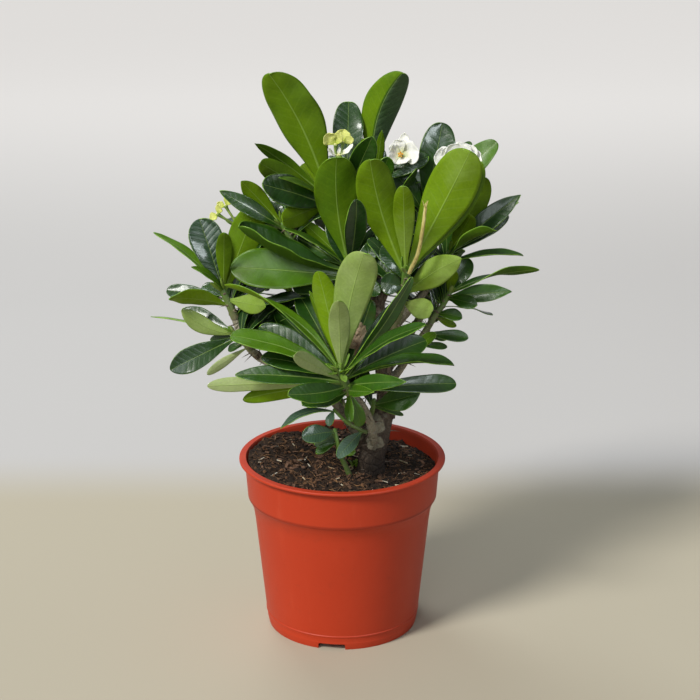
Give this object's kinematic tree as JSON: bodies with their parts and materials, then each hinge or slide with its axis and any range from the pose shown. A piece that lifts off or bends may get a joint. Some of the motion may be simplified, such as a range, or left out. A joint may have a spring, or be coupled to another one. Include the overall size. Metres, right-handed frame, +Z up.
{
  "type": "potted crown of thorns",
  "caption": "Branching thorny shrub with rosettes of paddle-shaped leathery leaves and small pale blooms, rooted in soil in a round tapered plastic pot.",
  "frame": {"origin": "on the surface that the pot stands on, at the pot's axis", "axes": "+Z up along the pot's axis, -Y toward the front"},
  "size_m": [0.24, 0.1705, 0.3545],
  "materials": {
    "pot_plastic": "satin moulded plastic, terracotta orange",
    "soil": "loose dark potting soil with fibres",
    "bark": "rough grey-brown bark",
    "leaf": "glossy leathery green leaf",
    "bract": "soft white petal",
    "young_bract": "soft pale yellow petal",
    "withered": "dry crumpled brown petal",
    "straw": "dry straw-coloured stalk",
    "nectar": "moist orange-yellow glands"
  },
  "bodies": {
    "root": {"bloom_back_left": "bract", "bloom_back_right": "bract", "bloom_behind_leaf": "bract", "bloom_open": "bract", "bloom_open_centre": "nectar", "bloom_side_lower": "young_bract", "bloom_side_upper": "young_bract", "bloom_young_left": "young_bract", "bloom_young_right": "young_bract", "dry_stalk": "straw", "fork_bracts": "bract", "pot": "pot_plastic", "shoot_back_left": "leaf", "shoot_back_low": "leaf", "shoot_back_right": "leaf", "shoot_back_top": "leaf", "shoot_centre": "leaf", "shoot_centre_left": "leaf", "shoot_front": "leaf", "shoot_left": "leaf", "shoot_left_upper": "leaf", "shoot_low_right": "leaf", "shoot_lower_left": "leaf", "shoot_right": "leaf", "shoot_right_top": "leaf", "shoot_right_upper": "leaf", "shoot_top_middle": "leaf", "shoot_top_right": "leaf", "shoot_upper_left": "leaf", "soil": "soil", "sprout_in_soil": "leaf", "sprout_on_branch": "leaf", "withered_bloom": "withered", "woody_stems": "bark"}
  },
  "joints": []
}
